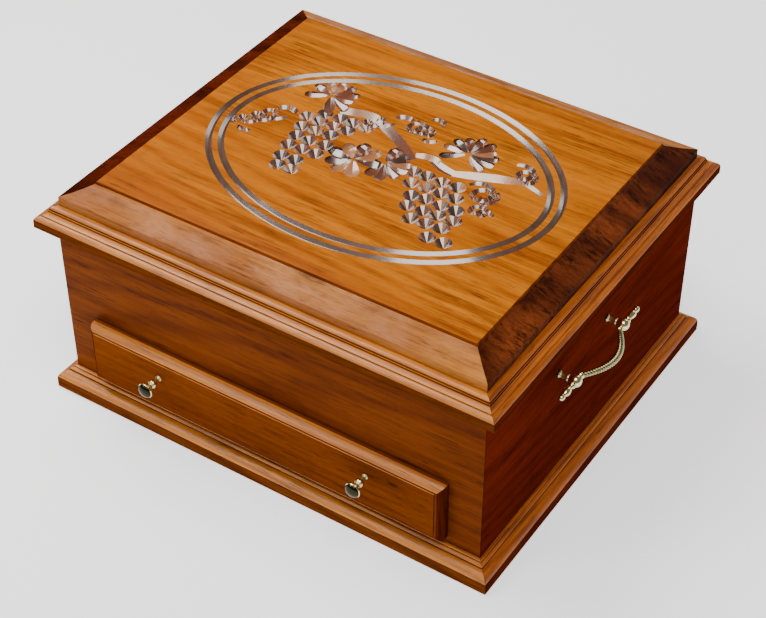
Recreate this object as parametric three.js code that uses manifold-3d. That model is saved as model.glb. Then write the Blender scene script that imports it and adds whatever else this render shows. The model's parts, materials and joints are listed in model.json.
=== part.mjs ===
// A lidded keepsake chest: a moulded base, a mitred body with one lipped drawer low in its front,
// a hinged lid with a raised panel, and a brass swing handle on each end.
// Millimetres, +Z up, +X to the right, the front faces -Y. The origin is the middle of the underside.

import * as THREE from 'three';
import { mergeVertices } from 'three/addons/utils/BufferGeometryUtils.js';
import Module from 'manifold-3d';

const wasm = await Module();
wasm.setup();

// ---- Driving dimensions ----

const GAP = 0.3; // clearance left between pieces that touch
const MITRE_GAP = 0.2; // taken off each end of a mitred rail

const HALF_WIDTH = 200; // outside of the end boards
const HALF_DEPTH = 170.5; // outside of the front and back boards
const BOARD = 16; // thickness of the body boards

const BASE_HEIGHT = 21.3;
const BASE_REACH = 13.5; // how far the base stands out past the body
const BASE_LEDGE = 31.5; // how far it runs in under the body
const BODY_TOP = 172.4;
const LID_FRAME_HEIGHT = 19;
const LID_REACH = 13.3;
const LID_LEDGE = 32;

const PANEL_INSET = 2.3; // lid panel's edge, in from the body's face
const PANEL_HEIGHT = 18.6;
const PANEL_EDGE = 8; // height of the panel's square edge
const BEVEL_WIDTH = 21.4;
const FIELD_STEP = 2.2; // how far the raised field stands above its bevel
const FIELD_SLOPE = 1; // width of that step's slope

const OVAL_RADII = [
  [152.7, 114.3],
  [142.5, 104],
];
const OVAL_GROOVE_WIDTH = 6.5;
const OVAL_GROOVE_DEPTH = 2.2;

const PLYWOOD = 6;
const BOTTOM_RABBET = 9; // how far the bottom panel is let in under the base rails

const OPENING_HALF_WIDTH = 163;
const OPENING_BOTTOM = 36.2;
const OPENING_TOP = 80.3;
const DRAWER_SLACK = 1.5; // drawer box to the sides of its opening
const DRAWER_LIFT = 0.8; // drawer box to the bottom of its opening
const DRAWER_HEIGHT = 42.5;
const DRAWER_LENGTH = 300;
const DRAWER_WALL = 10;
const DRAWER_PLY = 5;
const DRAWER_PLY_LIFT = 3; // drawer's bottom sheet, up from the lower edge of its sides
const LIP_HALF_WIDTH = 171;
const LIP_BOTTOM = 29;
const LIP_TOP = 87.5;
const LIP_THICKNESS = 12;
const TONGUE_THICKNESS = 7;
const CLEAT_HEIGHT = 15.4; // from the drawer opening's top up to the compartment's floor
const GUIDE_HEIGHT = 14; // side guides, up from the bottom of the drawer opening

const KNOB_PLACES = { left: -97.5, right: 103.5 }; // bored by hand, so not quite even
const KNOB_HEIGHT = 67;

const HINGE_SPREAD = 120;
const HINGE_LENGTH = 51;
const LEAF_WIDTH = 14;
const LEAF_THICKNESS = 1.2;
const BARREL_RADIUS = 2.9;
const BARREL_OFFSET = 3.2; // pin's axis, behind the body's back face
const PIN_RADIUS = 1.1;

const HANDLE_HEIGHT = 129;
const HANDLE_SHIFT = -22.5; // both handles sit a little forward of the middle
const POST_SPACING = 78;
const POST_REACH = 15; // pivot axis, out from the end board
const EYE_RADIUS = 5.3;
const JOURNAL_RADIUS = 1.8;
const STUD_RADIUS = 1.8;
const BAIL_RADIUS = 2.8;
const BAIL_BOW = 14.2;
const FINIAL_LENGTH = 25; // each end of the bail, out past the middle of its eye

const ROUND = 20; // sides of a small turned piece

// ---- Heights and places worked out from them ----

const BODY_BOTTOM = BASE_HEIGHT + GAP;
const LID_BOTTOM = BODY_TOP + GAP;
const LID_FRAME_TOP = LID_BOTTOM + LID_FRAME_HEIGHT;
const PANEL_BOTTOM = LID_FRAME_TOP + GAP;
const PANEL_TOP = PANEL_BOTTOM + PANEL_HEIGHT;
const INNER_HALF_WIDTH = HALF_WIDTH - BOARD;
const INNER_HALF_DEPTH = HALF_DEPTH - BOARD;
const DRAWER_HALF_WIDTH = OPENING_HALF_WIDTH - DRAWER_SLACK;
const DRAWER_BOTTOM = OPENING_BOTTOM + DRAWER_LIFT;
const DRAWER_TOP = DRAWER_BOTTOM + DRAWER_HEIGHT;
const TONGUE_BACK = -HALF_DEPTH - GAP + TONGUE_THICKNESS;
const DRAWER_FRONT_END = TONGUE_BACK + GAP;
const DRAWER_BACK_END = DRAWER_FRONT_END + DRAWER_LENGTH;
const LIP_FACE = -HALF_DEPTH - GAP - LIP_THICKNESS;
const FLOOR_BOTTOM = OPENING_TOP + CLEAT_HEIGHT + GAP;
const PIN_Y = HALF_DEPTH + BARREL_OFFSET;
const PIN_Z = BODY_TOP + GAP / 2;

// ---- Materials ----

function finish(color, roughness, metalness) {
  return () => new THREE.MeshStandardMaterial({ color, roughness, metalness });
}
const cherry = finish(0x8a4a1c, 0.35, 0);
const amberCherry = finish(0xb4661f, 0.3, 0);
const plainWood = finish(0xb98d5c, 0.6, 0);
const plywood = finish(0xc9a777, 0.65, 0);
const brass = finish(0xc9b36a, 0.25, 1);

// ---- Solids, cuts and joins ----

// The same faces with shared corners and without the flat triangles at a lathe's poles.
function welded(geometry) {
  const bare = geometry.clone();
  bare.deleteAttribute('normal');
  bare.deleteAttribute('uv');
  const merged = mergeVertices(bare, 1e-4);
  const corners = merged.index.array;
  const kept = [];
  for (let i = 0; i < corners.length; i += 3) {
    const [a, b, c] = [corners[i], corners[i + 1], corners[i + 2]];
    if (a !== b && b !== c && c !== a) kept.push(a, b, c);
  }
  merged.setIndex(kept);
  return merged;
}

function solid(geometry) {
  const shell = welded(geometry);
  return new wasm.Manifold(
    new wasm.Mesh({
      numProp: 3,
      vertProperties: new Float32Array(shell.attributes.position.array),
      triVerts: new Uint32Array(shell.index.array),
    }),
  );
}

function geometryOf(manifold) {
  const mesh = manifold.getMesh();
  const geometry = new THREE.BufferGeometry();
  geometry.setAttribute('position', new THREE.BufferAttribute(mesh.vertProperties, 3));
  geometry.setIndex(new THREE.BufferAttribute(mesh.triVerts, 1));
  return geometry;
}

function cut(geometry, ...tools) {
  return geometryOf(tools.reduce((rest, tool) => rest.subtract(solid(tool)), solid(geometry)));
}

function join(...geometries) {
  const [first, ...others] = geometries.map(solid);
  return geometryOf(others.reduce((whole, other) => whole.add(other), first));
}

// ---- Shapes ----

// A box between two opposite corners.
function block([x0, y0, z0], [x1, y1, z1]) {
  const box = new THREE.BoxGeometry(x1 - x0, y1 - y0, z1 - z0);
  return box.translate((x0 + x1) / 2, (y0 + y1) / 2, (z0 + z1) / 2);
}

// A turned piece on the Z axis, from [radius, height] pairs given from the bottom up.
function turned(profile, sides = ROUND) {
  const points = profile.map(([radius, height]) => new THREE.Vector2(radius, height));
  return new THREE.LatheGeometry(points, sides).rotateX(Math.PI / 2);
}

function rod(radius, from, to, sides = ROUND) {
  return turned([[0, from], [radius, from], [radius, to], [0, to]], sides);
}

// The point list of a quarter round that bulges from one point to the next, or hollows if inward.
function quarter([x0, z0], [x1, z1], inward = false, steps = 5) {
  const points = [];
  for (let i = 1; i <= steps; i += 1) {
    const turn = (i / steps) * (Math.PI / 2);
    const across = inward ? Math.sin(turn) : 1 - Math.cos(turn);
    const up = inward ? 1 - Math.cos(turn) : Math.sin(turn);
    points.push([x0 + (x1 - x0) * across, z0 + (z1 - z0) * up]);
  }
  return points;
}

// One rail of a mitred frame, along the front of a rectangle. The profile's points are
// [distance out past the rectangle, height].
function mitredRail(profile, halfLength, halfAcross) {
  const shape = new THREE.Shape(profile.map(([out, height]) => new THREE.Vector2(out, height)));
  const rail = new THREE.ExtrudeGeometry(shape, { depth: 2, bevelEnabled: false });
  const position = rail.attributes.position;
  for (let i = 0; i < position.count; i += 1) {
    const out = position.getX(i);
    const along = (1 - position.getZ(i)) * (halfLength + out - MITRE_GAP);
    position.setXYZ(i, along, -(halfAcross + out), position.getY(i));
  }
  return welded(rail);
}

// The four rails of a frame around a rectangle, by side.
function mitredFrame(profile, halfX, halfY) {
  return {
    front: mitredRail(profile, halfX, halfY),
    right: mitredRail(profile, halfY, halfX).rotateZ(Math.PI / 2),
    back: mitredRail(profile, halfX, halfY).rotateZ(Math.PI),
    left: mitredRail(profile, halfY, halfX).rotateZ(-Math.PI / 2),
  };
}

// A rectangular slab with a moulded edge. The profile's points are [inset from the edge, height].
function mouldedSlab(profile, halfX, halfY) {
  const reach = Math.min(halfX, halfY);
  const rim = profile.map(([inset, height]) => [(reach - inset) * Math.SQRT2, height]);
  const outline = [[0, rim[0][1]], ...rim, [0, rim[rim.length - 1][1]]];
  const points = outline.map(([radius, height]) => new THREE.Vector2(radius, height));
  const slab = new THREE.LatheGeometry(points, 4, Math.PI / 4).rotateX(Math.PI / 2);
  const position = slab.attributes.position;
  for (let i = 0; i < position.count; i += 1) {
    const [x, y] = [position.getX(i), position.getY(i)];
    if (Math.abs(x) < GAP) continue;
    position.setXY(i, x + Math.sign(x) * (halfX - reach), y + Math.sign(y) * (halfY - reach));
  }
  return welded(slab);
}

// A ring of the given section around an ellipse, on the Z axis.
function ovalRing(section, radiusX, radiusY, steps) {
  const middle = Math.min(radiusX, radiusY);
  const ring = turned([...section, section[0]].map(([out, height]) => [middle + out, height]), steps);
  const position = ring.attributes.position;
  for (let i = 0; i < position.count; i += 1) {
    const [x, y] = [position.getX(i), position.getY(i)];
    const turn = Math.atan2(y, x);
    const [addX, addY] = [(radiusX - middle) * Math.cos(turn), (radiusY - middle) * Math.sin(turn)];
    position.setXY(i, x + addX, y + addY);
  }
  return ring;
}

// ---- Assembly ----

const chest = new THREE.Group();

function add(name, geometry, material, parent = chest) {
  const mesh = new THREE.Mesh(geometry, material());
  mesh.name = name;
  parent.add(mesh);
  return mesh;
}

function addFrame(prefix, suffix, frame, material) {
  for (const [side, geometry] of Object.entries(frame)) {
    add(`${prefix}_${side}_${suffix}`, geometry, material);
  }
}

// ---- Screw that holds a hinge leaf, head up, its top at the origin ----

const SCREW_HEAD_RADIUS = 2.6;
const SCREW_HEAD_DEPTH = 1;
const SCREW_RADIUS = 1.2;
const SCREW_LENGTH = 10;

// grown by `clear`, the same outline is the hole that the screw sits in
function screwBody(clear = 0) {
  return turned([
    [0, -SCREW_LENGTH - clear],
    [SCREW_RADIUS + clear, -SCREW_LENGTH - clear],
    [SCREW_RADIUS + clear, -SCREW_HEAD_DEPTH - clear],
    [SCREW_HEAD_RADIUS + clear, clear],
    [0, clear],
  ], 12);
}

// ---- Butt hinges ----

const LEAF_Y = PIN_Y - LEAF_WIDTH - BARREL_OFFSET;
const LEAF_SCREW_Y = LEAF_Y + LEAF_WIDTH * 0.5;
const LEAF_SCREW_SPREAD = 15;
const KNUCKLES = 3;
const KNUCKLE_LENGTH = HINGE_LENGTH / KNUCKLES;

// Each leaf lies against its own board at the joint line: side is -1 for the body's and 1 for the lid's.
function leafFace(side) {
  return PIN_Z + side * (GAP / 2 + LEAF_THICKNESS);
}

function knuckleSpan(index) {
  const start = -HINGE_LENGTH / 2 + index * KNUCKLE_LENGTH;
  return [start + GAP / 2, start + KNUCKLE_LENGTH - GAP / 2];
}

function screwHoles(x, side, clear) {
  const turnOver = side > 0 ? Math.PI : 0;
  const top = PIN_Z + side * (GAP / 2);
  return [-1, 1].map((end) => screwBody(clear).rotateX(turnOver)
    .translate(x + end * LEAF_SCREW_SPREAD, LEAF_SCREW_Y, top));
}

function hingeLeaf(x, side) {
  const [low, high] = [leafFace(side), PIN_Z + side * (GAP / 2)].sort((a, b) => a - b);
  const plate = block([x - HINGE_LENGTH / 2, LEAF_Y, low], [x + HINGE_LENGTH / 2, PIN_Y, high]);
  const wanted = side > 0 ? [1] : [0, 2];
  const others = side > 0 ? [0, 2] : [1];
  const knuckles = wanted.map(knuckleSpan).map(([from, to]) => rod(BARREL_RADIUS, from, to)
    .rotateY(Math.PI / 2).translate(x, PIN_Y, PIN_Z));
  const reliefs = others.map((index) => {
    const start = x - HINGE_LENGTH / 2 + index * KNUCKLE_LENGTH;
    const front = PIN_Y - BARREL_RADIUS - GAP;
    return block(
      [start - GAP / 2, front, PIN_Z - BOARD],
      [start + KNUCKLE_LENGTH + GAP / 2, PIN_Y + BOARD, PIN_Z + BOARD],
    );
  });
  const bore = rod(PIN_RADIUS + GAP, -HINGE_LENGTH, HINGE_LENGTH)
    .rotateY(Math.PI / 2).translate(x, PIN_Y, PIN_Z);
  return cut(join(cut(plate, ...reliefs), ...knuckles), bore, ...screwHoles(x, side, GAP));
}

// The room a leaf and its barrel need in the board on that side.
function hingeMortise(x, side) {
  const halfLength = HINGE_LENGTH / 2 + GAP;
  const far = leafFace(side) + side * GAP;
  const [low, high] = [far, PIN_Z].sort((a, b) => a - b);
  return block([x - halfLength, LEAF_Y - GAP, low], [x + halfLength, PIN_Y, high]);
}

function barrelNotch(x) {
  const halfLength = HINGE_LENGTH / 2 + GAP;
  const room = BARREL_RADIUS + 2 * GAP;
  return block([x - halfLength, PIN_Y - room, PIN_Z - room], [x + halfLength, PIN_Y + room, PIN_Z + room]);
}

const hinges = [['left', -HINGE_SPREAD], ['right', HINGE_SPREAD]];

// ---- Base: four mitred rails with a stepped, rounded edge, and the bottom panel in their rabbet ----

const BASE_NOSE = 9.2;
const baseProfile = [
  [BOTTOM_RABBET - BASE_LEDGE, 0],
  [BASE_REACH, 0],
  [BASE_REACH, BASE_NOSE],
  ...quarter([BASE_REACH, BASE_NOSE], [5.4, 16.6], false, 6),
  [5.4, 17.6],
  ...quarter([5.4, 17.6], [1.4, BASE_HEIGHT]),
  [-BASE_LEDGE, BASE_HEIGHT],
  [-BASE_LEDGE, PLYWOOD + GAP],
  [BOTTOM_RABBET - BASE_LEDGE, PLYWOOD + GAP],
];
addFrame('base', 'rail', mitredFrame(baseProfile, HALF_WIDTH, HALF_DEPTH), cherry);

const bottomReach = BOTTOM_RABBET - BASE_LEDGE - GAP;
add('bottom_panel', block(
  [-HALF_WIDTH - bottomReach, -HALF_DEPTH - bottomReach, 0],
  [HALF_WIDTH + bottomReach, HALF_DEPTH + bottomReach, PLYWOOD],
), plywood);

// ---- Body: four mitred boards ----

const boardProfile = [[-BOARD, BODY_BOTTOM], [0, BODY_BOTTOM], [0, BODY_TOP], [-BOARD, BODY_TOP]];
const boards = mitredFrame(boardProfile, HALF_WIDTH, HALF_DEPTH);

const drawerOpening = block(
  [-OPENING_HALF_WIDTH, -HALF_DEPTH - BOARD, OPENING_BOTTOM],
  [OPENING_HALF_WIDTH, -HALF_DEPTH + 2 * BOARD, OPENING_TOP],
);
boards.front = cut(boards.front, drawerOpening);

const bodyMortises = hinges.flatMap(([, x]) => [hingeMortise(x, -1), ...screwHoles(x, -1, GAP)]);
boards.back = cut(boards.back, ...bodyMortises);

// a stud hole for each handle post, through the end boards
const postPlaces = [['front', HANDLE_SHIFT - POST_SPACING / 2], ['back', HANDLE_SHIFT + POST_SPACING / 2]];
function studHoles() {
  return postPlaces.map(([, y]) => rod(STUD_RADIUS + GAP, -HALF_WIDTH - BOARD, HALF_WIDTH + BOARD)
    .rotateY(Math.PI / 2).translate(0, y, HANDLE_HEIGHT));
}
boards.left = cut(boards.left, ...studHoles());
boards.right = cut(boards.right, ...studHoles());
addFrame('body', 'board', boards, cherry);

// ---- Inside: drawer runners, cleats and the compartment floor ----

const GUIDE_FACE = DRAWER_HALF_WIDTH + DRAWER_SLACK / 2;
const GUIDE_TOP = OPENING_BOTTOM + GUIDE_HEIGHT;
const RUNNER_TOP = DRAWER_BOTTOM - GAP;
const RUNNER_INNER = DRAWER_HALF_WIDTH - DRAWER_WALL - DRAWER_SLACK; // reaches just past the side
const caseLength = 2 * (INNER_HALF_DEPTH - GAP);

function runner() {
  const outer = INNER_HALF_WIDTH - GAP;
  const bottom = BODY_BOTTOM;
  const section = new THREE.Shape([
    new THREE.Vector2(RUNNER_INNER, bottom),
    new THREE.Vector2(outer, bottom),
    new THREE.Vector2(outer, GUIDE_TOP),
    new THREE.Vector2(GUIDE_FACE, GUIDE_TOP),
    new THREE.Vector2(GUIDE_FACE, RUNNER_TOP),
    new THREE.Vector2(RUNNER_INNER, RUNNER_TOP),
  ]);
  const length = new THREE.ExtrudeGeometry(section, { depth: caseLength, bevelEnabled: false });
  return length.translate(0, 0, -caseLength / 2).rotateX(Math.PI / 2);
}

function cleat() {
  return block(
    [RUNNER_INNER, -caseLength / 2, OPENING_TOP],
    [INNER_HALF_WIDTH - GAP, caseLength / 2, OPENING_TOP + CLEAT_HEIGHT],
  );
}

for (const [side, turn] of [['left', Math.PI], ['right', 0]]) {
  add(`${side}_drawer_runner`, runner().rotateZ(turn), plainWood);
  add(`${side}_floor_cleat`, cleat().rotateZ(turn), plainWood);
}

add('compartment_floor', block(
  [GAP - INNER_HALF_WIDTH, -caseLength / 2, FLOOR_BOTTOM],
  [INNER_HALF_WIDTH - GAP, caseLength / 2, FLOOR_BOTTOM + PLYWOOD],
), plywood);

// ---- Drawer ----

const drawer = new THREE.Group();
chest.add(drawer);

const FACE_INSET = 6; // the raised face's edge, in from the lip's
const LIP_EDGE = 3; // height of the lip's square edge
const LIP_SHOULDER = 11; // height of the ledge around the raised face
const lipProfile = [
  [0, 0],
  [0, LIP_EDGE],
  ...quarter([0, LIP_EDGE], [FACE_INSET - 1, LIP_SHOULDER], false, 6),
  [FACE_INSET, LIP_SHOULDER],
  [FACE_INSET, LIP_THICKNESS],
];
const lipMiddle = (LIP_BOTTOM + LIP_TOP) / 2;
const lip = mouldedSlab(lipProfile, LIP_HALF_WIDTH, (LIP_TOP - LIP_BOTTOM) / 2)
  .rotateX(Math.PI / 2)
  .translate(0, -HALF_DEPTH - GAP, lipMiddle);
const tongue = block(
  [-DRAWER_HALF_WIDTH, -HALF_DEPTH - 2 * GAP, DRAWER_BOTTOM],
  [DRAWER_HALF_WIDTH, TONGUE_BACK, DRAWER_TOP],
);
const knobs = Object.entries(KNOB_PLACES);
const KNOB_SCREW_RADIUS = 1.2;
const knobHoles = knobs.map(([, x]) => rod(KNOB_SCREW_RADIUS + GAP, -BOARD * 2, BOARD * 2)
  .rotateX(Math.PI / 2).translate(x, -HALF_DEPTH, KNOB_HEIGHT));
add('drawer_front', cut(join(lip, tongue), ...knobHoles), cherry, drawer);

for (const [side, turn] of [['left', Math.PI], ['right', 0]]) {
  const wall = block(
    [DRAWER_HALF_WIDTH - DRAWER_WALL, -DRAWER_LENGTH / 2, 0],
    [DRAWER_HALF_WIDTH, DRAWER_LENGTH / 2, DRAWER_HEIGHT],
  );
  const middle = (DRAWER_FRONT_END + DRAWER_BACK_END) / 2;
  add(`drawer_${side}_side`, wall.rotateZ(turn).translate(0, middle, DRAWER_BOTTOM), plainWood, drawer);
}

const drawerInner = DRAWER_HALF_WIDTH - DRAWER_WALL - GAP;
const drawerPlyBottom = DRAWER_BOTTOM + DRAWER_PLY_LIFT;
add('drawer_bottom', block(
  [-drawerInner, DRAWER_FRONT_END, drawerPlyBottom],
  [drawerInner, DRAWER_BACK_END, drawerPlyBottom + DRAWER_PLY],
), plywood, drawer);
add('drawer_back', block(
  [-drawerInner, DRAWER_BACK_END - DRAWER_WALL, drawerPlyBottom + DRAWER_PLY + GAP],
  [drawerInner, DRAWER_BACK_END, DRAWER_TOP],
), plainWood, drawer);

// ---- Drawer knobs: a collar, a bead, a waist and a mushroom head, each with its screw ----

const KNOB_HEAD_RADIUS = 7;
const KNOB_LENGTH = 21;
const KNOB_RIM = 17.3; // height of the head's widest circle
const KNOB_BORE_DEPTH = 9;
const KNOB_SCREW_HEAD = 3.6;
const knobProfile = [
  [0, 0],
  [2.7, 0],
  [2.7, 0.8],
  [1.9, 1.4],
  [1.8, 5],
  [3.4, 6.6],
  [3.9, 8.2],
  [3.4, 9.8],
  [2.4, 10.9],
  [2.4, 11.8],
  [3.3, 13.2],
  [4.9, 15],
  [6.4, 16.5],
  [KNOB_HEAD_RADIUS, KNOB_RIM],
  ...quarter([KNOB_HEAD_RADIUS, KNOB_RIM], [0, KNOB_LENGTH]),
];

for (const [side, x] of knobs) {
  const bore = rod(KNOB_SCREW_RADIUS + GAP, -BOARD, KNOB_BORE_DEPTH, 12);
  const knob = cut(turned(knobProfile), bore).rotateX(Math.PI / 2);
  add(`${side}_knob`, knob, brass, drawer).position.set(x, LIP_FACE - GAP, KNOB_HEIGHT);
  const shankEnd = LIP_FACE - GAP - KNOB_BORE_DEPTH + GAP;
  const headBack = TONGUE_BACK + GAP;
  const screw = turned([
    [0, -headBack - 2.2],
    [KNOB_SCREW_HEAD * 0.6, -headBack - 2.2],
    [KNOB_SCREW_HEAD, -headBack - 1],
    [KNOB_SCREW_HEAD, -headBack],
    [KNOB_SCREW_RADIUS, -headBack],
    [KNOB_SCREW_RADIUS, -shankEnd],
    [0, -shankEnd],
  ], 16).rotateX(Math.PI / 2);
  add(`${side}_knob_screw`, screw, brass, drawer).position.set(x, 0, KNOB_HEIGHT);
}

// ---- Lid: four mitred rails with a moulded edge, and the raised panel on top ----

const lid = new THREE.Group();
chest.add(lid);

const LID_NOSE = 179.8;
const lidProfile = [
  [-LID_LEDGE, LID_BOTTOM],
  [LID_REACH - 0.6, LID_BOTTOM],
  [LID_REACH, LID_BOTTOM + 0.6],
  [LID_REACH, LID_NOSE],
  ...quarter([LID_REACH, LID_NOSE], [8.2, 184.2]),
  [8.2, 185],
  ...quarter([8.2, 185], [4, 188], true),
  [4, 188.9],
  ...quarter([4, 188.9], [1, LID_FRAME_TOP]),
  [-LID_LEDGE, LID_FRAME_TOP],
];
const lidRails = mitredFrame(lidProfile, HALF_WIDTH, HALF_DEPTH);
const lidMortises = hinges.flatMap(([, x]) => [
  hingeMortise(x, 1),
  barrelNotch(x),
  ...screwHoles(x, 1, GAP),
]);
lidRails.back = cut(lidRails.back, ...lidMortises);
for (const [side, geometry] of Object.entries(lidRails)) add(`lid_${side}_rail`, geometry, cherry, lid);

const panelHalfX = HALF_WIDTH - PANEL_INSET;
const panelHalfY = HALF_DEPTH - PANEL_INSET;
const bevelFoot = PANEL_BOTTOM + PANEL_EDGE;
const bevelHead = PANEL_TOP - FIELD_STEP;
const panelProfile = [
  [0, PANEL_BOTTOM],
  [0, bevelFoot],
];
const BEVEL_STEPS = 5;
const BEVEL_HOLLOW = 0.8; // how far the bevel dips below a straight line
for (let i = 1; i <= BEVEL_STEPS; i += 1) {
  const along = i / BEVEL_STEPS;
  const dip = BEVEL_HOLLOW * Math.sin(Math.PI * along);
  panelProfile.push([BEVEL_WIDTH * along, bevelFoot + (bevelHead - bevelFoot) * along - dip]);
}
panelProfile.push([BEVEL_WIDTH + FIELD_SLOPE, PANEL_TOP]);

const grooveSection = [
  [0, -OVAL_GROOVE_DEPTH],
  [OVAL_GROOVE_WIDTH * 0.32, -OVAL_GROOVE_DEPTH * 0.7],
  [OVAL_GROOVE_WIDTH / 2, 0],
  [OVAL_GROOVE_WIDTH / 2, BOARD],
  [-OVAL_GROOVE_WIDTH / 2, BOARD],
  [-OVAL_GROOVE_WIDTH / 2, 0],
  [-OVAL_GROOVE_WIDTH * 0.32, -OVAL_GROOVE_DEPTH * 0.7],
];
const GROOVE_STEPS = 72;
const grooves = OVAL_RADII.map(([radiusX, radiusY]) => (
  ovalRing(grooveSection, radiusX, radiusY, GROOVE_STEPS).translate(0, 0, PANEL_TOP)
));
add('lid_panel', cut(mouldedSlab(panelProfile, panelHalfX, panelHalfY), ...grooves), amberCherry, lid);

// ---- Hinge pieces and their screws ----

for (const [side, x] of hinges) {
  add(`${side}_hinge_body_leaf`, hingeLeaf(x, -1), brass);
  add(`${side}_hinge_lid_leaf`, hingeLeaf(x, 1), brass, lid);
  const halfPin = HINGE_LENGTH / 2;
  const pin = rod(PIN_RADIUS, -halfPin, halfPin, 12).rotateY(Math.PI / 2);
  add(`${side}_hinge_pin`, pin, brass).position.set(x, PIN_Y, PIN_Z);
  for (const [owner, leafSide, parent] of [['body', -1, chest], ['lid', 1, lid]]) {
    screwHoles(x, leafSide, 0).forEach((screw, index) => {
      add(`${side}_hinge_${owner}_screw_${index + 1}`, screw, brass, parent);
    });
  }
}

// ---- End handles: two posts with a ball eye, their nuts, and a bail that swings in the eyes ----

const NUT_RADIUS = 4.6;
const NUT_THICKNESS = 3;
const STUD_END = -BOARD - NUT_THICKNESS - 3; // a little thread stands out past the nut

// A post on the Z axis with its plate's back at the origin and its stud pointing down.
function handlePost() {
  const post = turned([
    [0, STUD_END],
    [STUD_RADIUS, STUD_END],
    [STUD_RADIUS, 0],
    [3.6, 0],
    [3.6, 0.8],
    [2.8, 1.6],
    [2.1, 3],
    [2.1, 7],
    [2.9, 8.4],
    [2.6, 9.4],
    [EYE_RADIUS * 0.9, POST_REACH - GAP - EYE_RADIUS * 0.44],
    [EYE_RADIUS, POST_REACH - GAP],
    ...quarter([EYE_RADIUS, POST_REACH - GAP], [0, POST_REACH - GAP + EYE_RADIUS]),
  ]);
  const eye = rod(JOURNAL_RADIUS + GAP, -2 * EYE_RADIUS, 2 * EYE_RADIUS, 16)
    .rotateX(Math.PI / 2).translate(0, 0, POST_REACH - GAP);
  return cut(post, eye);
}

// The bail along the Y axis, its bow towards +X: a finial outside each eye, a journal in the eye,
// a bead inside it and the curved grip between the beads.
function handleBail() {
  const half = POST_SPACING / 2;
  const bead = EYE_RADIUS + 1;
  const rope = new THREE.CatmullRomCurve3([
    new THREE.Vector3(0, -half + bead, 0),
    new THREE.Vector3(4.4, -half + 12.5, 0),
    new THREE.Vector3(9.4, -half + 21, 0),
    new THREE.Vector3(13.4, -half + 30, 0),
    new THREE.Vector3(BAIL_BOW, 0, 0),
    new THREE.Vector3(13.4, half - 30, 0),
    new THREE.Vector3(9.4, half - 21, 0),
    new THREE.Vector3(4.4, half - 12.5, 0),
    new THREE.Vector3(0, half - bead, 0),
  ]);
  const sides = 10;
  const ringPoints = [];
  for (let i = 0; i < sides; i += 1) {
    const turn = (i / sides) * 2 * Math.PI;
    ringPoints.push(new THREE.Vector2(BAIL_RADIUS * Math.cos(turn), BAIL_RADIUS * Math.sin(turn)));
  }
  const grip = new THREE.ExtrudeGeometry(new THREE.Shape(ringPoints), { steps: 30, extrudePath: rope });
  const end = turned([
    [0, -EYE_RADIUS - 4.6],
    [2.4, -EYE_RADIUS - 3.8],
    [3.3, -EYE_RADIUS - 2],
    [2.6, -EYE_RADIUS - GAP],
    [JOURNAL_RADIUS, -EYE_RADIUS - GAP],
    [JOURNAL_RADIUS, EYE_RADIUS + GAP],
    [2.8, EYE_RADIUS + GAP],
    [2.9, EYE_RADIUS + 1.4],
    [1.7, EYE_RADIUS + 2.8],
    [2.1, EYE_RADIUS + 6],
    [2.9, EYE_RADIUS + 10],
    [2.6, EYE_RADIUS + 13],
    [1.5, EYE_RADIUS + 15],
    [2.2, EYE_RADIUS + 17.4],
    [1.8, FINIAL_LENGTH - 1.2],
    [0, FINIAL_LENGTH],
  ], 14);
  const backEnd = end.clone().rotateX(-Math.PI / 2).translate(0, half, 0);
  const frontEnd = end.clone().rotateX(Math.PI / 2).translate(0, -half, 0);
  return join(grip, backEnd, frontEnd);
}

for (const [side, turn] of [['right', 0], ['left', Math.PI]]) {
  const outward = Math.cos(turn);
  for (const [place, y] of postPlaces) {
    const post = handlePost().rotateY(Math.PI / 2).rotateZ(turn);
    add(`${side}_handle_${place}_post`, post, brass)
      .position.set(outward * (HALF_WIDTH + GAP), y, HANDLE_HEIGHT);
    const nut = cut(rod(NUT_RADIUS, 0, NUT_THICKNESS, 6), rod(STUD_RADIUS + GAP, -BOARD, BOARD, 12))
      .rotateY(-Math.PI / 2).rotateZ(turn);
    add(`${side}_handle_${place}_nut`, nut, brass)
      .position.set(outward * (INNER_HALF_WIDTH - GAP), y, HANDLE_HEIGHT);
  }
  add(`${side}_handle_bail`, handleBail().rotateZ(turn), brass)
    .position.set(outward * (HALF_WIDTH + POST_REACH), HANDLE_SHIFT, HANDLE_HEIGHT);
}

export default chest;
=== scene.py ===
# %% [markdown]
# # A keepsake chest with a carved lid
#
# The chest is a box of stained cherry. Four mitred boards stand between a moulded base and a moulded
# lid frame, the lid carries a raised panel with a carved grapevine, and a lipped drawer runs low in
# the front. The knobs and handles are turned brass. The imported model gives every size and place, so
# this lesson loads it first and only adds what an eye looks for: crisp mouldings, carving, wood, brass.

import json
import math
import random

import bmesh
import bpy
from mathutils import Euler, Matrix, Vector

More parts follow.
